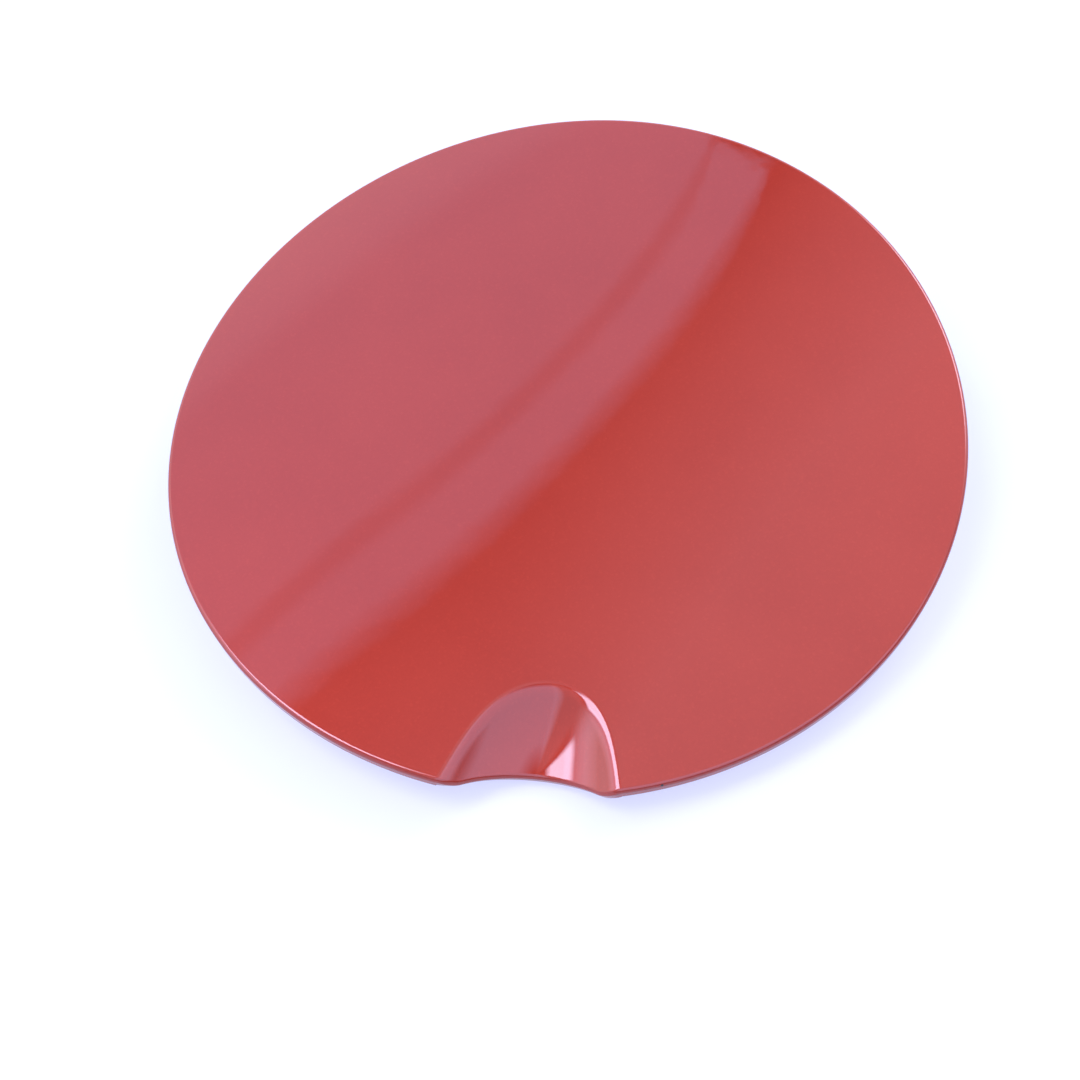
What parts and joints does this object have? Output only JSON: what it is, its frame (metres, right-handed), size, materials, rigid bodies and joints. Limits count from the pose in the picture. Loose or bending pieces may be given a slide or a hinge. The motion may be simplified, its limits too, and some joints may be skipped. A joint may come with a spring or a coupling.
{
  "type": "fuel filler flap",
  "caption": "Round painted steel fuel filler flap for a car, with a finger scoop, a sprung hinge, a lock loop and a holder for the fuel cap.",
  "frame": {"origin": "on the hinge bracket's mounting face, midway between its two screw holes", "axes": "+Z the way the painted face looks when shut, +X along the hinge axis, finger scoop toward -Y"},
  "size_m": [0.165, 0.1634, 0.0255],
  "materials": {
    "paint": "gloss metallic orange-red clearcoat",
    "primer_steel": "body colour, thin and satin on the hidden side",
    "mastic": "matt anti-flutter mastic",
    "black_coated_steel": "satin black electrocoat",
    "zinc_steel": "zinc plated steel",
    "spring_steel": "oiled spring wire",
    "nylon": "natural nylon",
    "black_plastic": "moulded black plastic, fine grain",
    "black_rubber": "matt black rubber"
  },
  "bodies": {
    "hinge_base": {"hinge_bracket": "black_coated_steel", "hinge_pin": "zinc_steel", "pin_clip": "spring_steel", "spacer_tube": "nylon", "closing_spring": "spring_steel"},
    "flap": {"outer_panel": "paint", "inner_panel": "primer_steel", "mastic_pads": "mastic", "hinge_arm": "black_coated_steel", "arm_rivets": "zinc_steel", "backing_plate": "zinc_steel", "left_bush": "nylon", "right_bush": "nylon", "stop_pads": "black_rubber", "cap_holder": "black_plastic", "cap_holder_rivets": "black_plastic", "left_buffer": "black_rubber", "right_buffer": "black_rubber", "lock_loop": "zinc_steel", "lock_loop_rivets": "zinc_steel"}
  },
  "joints": [
    {"name": "flap_hinge", "type": "hinge", "parent": "hinge_base", "child": "flap", "pos_m": [0, 0.012, 0.0095], "axis": [-1, 0, 0], "range_deg": [0, 100], "stiffness_Nm_per_rad": 0.06, "springref_deg": -57.3, "deforming": ["closing_spring"]}
  ]
}
